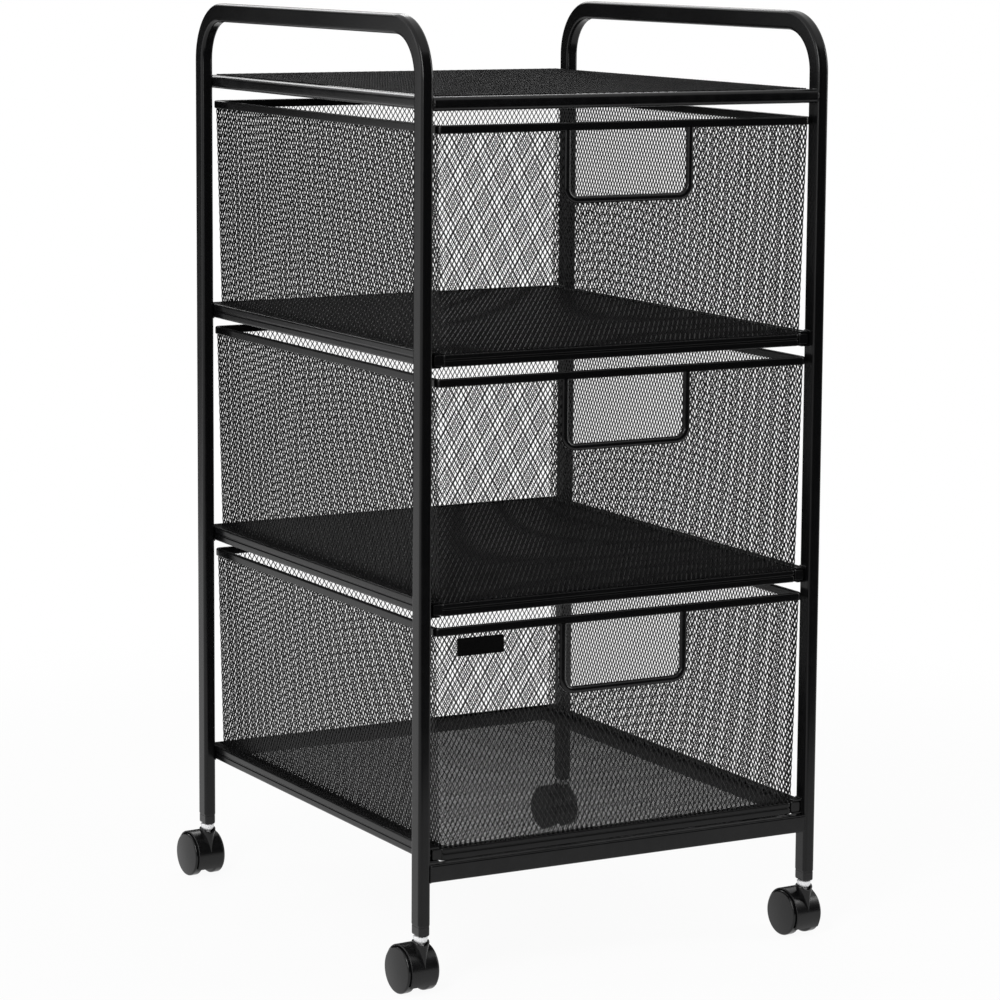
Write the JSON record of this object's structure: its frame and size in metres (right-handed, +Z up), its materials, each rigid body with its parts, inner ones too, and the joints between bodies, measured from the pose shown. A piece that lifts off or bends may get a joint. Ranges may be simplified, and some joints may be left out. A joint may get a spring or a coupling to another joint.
{
  "type": "rolling drawer cart",
  "caption": "Black steel rolling cart with mesh drawers between two arched side frames, a mesh top shelf and twin wheel casters.",
  "frame": {"origin": "on the floor, under the middle of the outline that the cart covers with its drawers closed", "axes": "+Z up, +X to the right seen from the drawer fronts, +Y from the drawer fronts towards the back"},
  "size_m": [0.355, 0.4042, 0.694],
  "materials": {
    "powder_coat": "satin black powder coat",
    "steel_mesh": "satin black powder coat on expanded steel mesh",
    "badge_plastic": "gloss",
    "caster_plastic": "satin moulded plastic",
    "wheel_plastic": "semi gloss moulded plastic",
    "zinc": "bright zinc plate"
  },
  "bodies": {
    "frame": {"left_side_frame": "powder_coat", "right_side_frame": "powder_coat", "shelf_front_bar": "powder_coat", "shelf_rear_bar": "powder_coat", "shelf_left_bar": "powder_coat", "shelf_right_bar": "powder_coat", "shelf_mesh": "steel_mesh", "bottom_front_rail": "powder_coat", "top_left_drawer_rail": "powder_coat", "top_right_drawer_rail": "powder_coat", "top_rear_stop_bar": "powder_coat", "middle_left_drawer_rail": "powder_coat", "middle_right_drawer_rail": "powder_coat", "middle_rear_stop_bar": "powder_coat", "bottom_left_drawer_rail": "powder_coat", "bottom_right_drawer_rail": "powder_coat", "bottom_rear_stop_bar": "powder_coat", "front_left_leg_insert": "caster_plastic", "front_right_leg_insert": "caster_plastic", "back_left_leg_insert": "caster_plastic", "back_right_leg_insert": "caster_plastic"},
    "top_drawer": {"top_drawer_rim": "powder_coat", "top_drawer_mesh_walls": "steel_mesh", "top_drawer_mesh_floor": "steel_mesh", "top_drawer_base_frame": "powder_coat", "top_drawer_handle_loop": "powder_coat"},
    "middle_drawer": {"middle_drawer_rim": "powder_coat", "middle_drawer_mesh_walls": "steel_mesh", "middle_drawer_mesh_floor": "steel_mesh", "middle_drawer_base_frame": "powder_coat", "middle_drawer_handle_loop": "powder_coat"},
    "bottom_drawer": {"bottom_drawer_rim": "powder_coat", "bottom_drawer_mesh_walls": "steel_mesh", "bottom_drawer_mesh_floor": "steel_mesh", "bottom_drawer_base_frame": "powder_coat", "bottom_drawer_handle_loop": "powder_coat", "blank_badge_plate": "badge_plastic"},
    "front_left_caster": {"front_left_caster_stem": "zinc", "front_left_caster_hood": "caster_plastic", "front_left_caster_axle": "zinc"},
    "front_left_left_wheel": {"front_left_left_wheel": "wheel_plastic"},
    "front_left_right_wheel": {"front_left_right_wheel": "wheel_plastic"},
    "front_right_caster": {"front_right_caster_stem": "zinc", "front_right_caster_hood": "caster_plastic", "front_right_caster_axle": "zinc"},
    "front_right_left_wheel": {"front_right_left_wheel": "wheel_plastic"},
    "front_right_right_wheel": {"front_right_right_wheel": "wheel_plastic"},
    "back_left_caster": {"back_left_caster_stem": "zinc", "back_left_caster_hood": "caster_plastic", "back_left_caster_axle": "zinc"},
    "back_left_left_wheel": {"back_left_left_wheel": "wheel_plastic"},
    "back_left_right_wheel": {"back_left_right_wheel": "wheel_plastic"},
    "back_right_caster": {"back_right_caster_stem": "zinc", "back_right_caster_hood": "caster_plastic", "back_right_caster_axle": "zinc"},
    "back_right_left_wheel": {"back_right_left_wheel": "wheel_plastic"},
    "back_right_right_wheel": {"back_right_right_wheel": "wheel_plastic"}
  },
  "joints": [
    {"name": "top_drawer_slide", "type": "slide", "parent": "frame", "child": "top_drawer", "axis": [0, -1, 0], "range_m": [0, 0.26]},
    {"name": "middle_drawer_slide", "type": "slide", "parent": "frame", "child": "middle_drawer", "axis": [0, -1, 0], "range_m": [0, 0.26]},
    {"name": "bottom_drawer_slide", "type": "slide", "parent": "frame", "child": "bottom_drawer", "axis": [0, -1, 0], "range_m": [0, 0.26]},
    {"name": "front_left_swivel", "type": "hinge", "parent": "frame", "child": "front_left_caster", "pos_m": [-0.16245, -0.19387, 0.04], "axis": [0, 0, 1], "continuous": true},
    {"name": "front_left_left_wheel_spin", "type": "hinge", "parent": "front_left_caster", "child": "front_left_left_wheel", "pos_m": [-0.16325, -0.1825, 0.017], "axis": [0.9976, 0.0698, 0], "continuous": true},
    {"name": "front_left_right_wheel_spin", "type": "hinge", "parent": "front_left_caster", "child": "front_left_right_wheel", "pos_m": [-0.16325, -0.1825, 0.017], "axis": [0.9976, 0.0698, 0], "continuous": true},
    {"name": "front_right_swivel", "type": "hinge", "parent": "frame", "child": "front_right_caster", "pos_m": [0.16404, -0.19387, 0.04], "axis": [0, 0, 1], "continuous": true},
    {"name": "front_right_left_wheel_spin", "type": "hinge", "parent": "front_right_caster", "child": "front_right_left_wheel", "pos_m": [0.16325, -0.1825, 0.017], "axis": [0.9976, 0.0698, 0], "continuous": true},
    {"name": "front_right_right_wheel_spin", "type": "hinge", "parent": "front_right_caster", "child": "front_right_right_wheel", "pos_m": [0.16325, -0.1825, 0.017], "axis": [0.9976, 0.0698, 0], "continuous": true},
    {"name": "back_left_swivel", "type": "hinge", "parent": "frame", "child": "back_left_caster", "pos_m": [-0.16245, 0.17113, 0.04], "axis": [0, 0, 1], "continuous": true},
    {"name": "back_left_left_wheel_spin", "type": "hinge", "parent": "back_left_caster", "child": "back_left_left_wheel", "pos_m": [-0.16325, 0.1825, 0.017], "axis": [0.9976, 0.0698, 0], "continuous": true},
    {"name": "back_left_right_wheel_spin", "type": "hinge", "parent": "back_left_caster", "child": "back_left_right_wheel", "pos_m": [-0.16325, 0.1825, 0.017], "axis": [0.9976, 0.0698, 0], "continuous": true},
    {"name": "back_right_swivel", "type": "hinge", "parent": "frame", "child": "back_right_caster", "pos_m": [0.16404, 0.17113, 0.04], "axis": [0, 0, 1], "continuous": true},
    {"name": "back_right_left_wheel_spin", "type": "hinge", "parent": "back_right_caster", "child": "back_right_left_wheel", "pos_m": [0.16325, 0.1825, 0.017], "axis": [0.9976, 0.0698, 0], "continuous": true},
    {"name": "back_right_right_wheel_spin", "type": "hinge", "parent": "back_right_caster", "child": "back_right_right_wheel", "pos_m": [0.16325, 0.1825, 0.017], "axis": [0.9976, 0.0698, 0], "continuous": true}
  ]
}
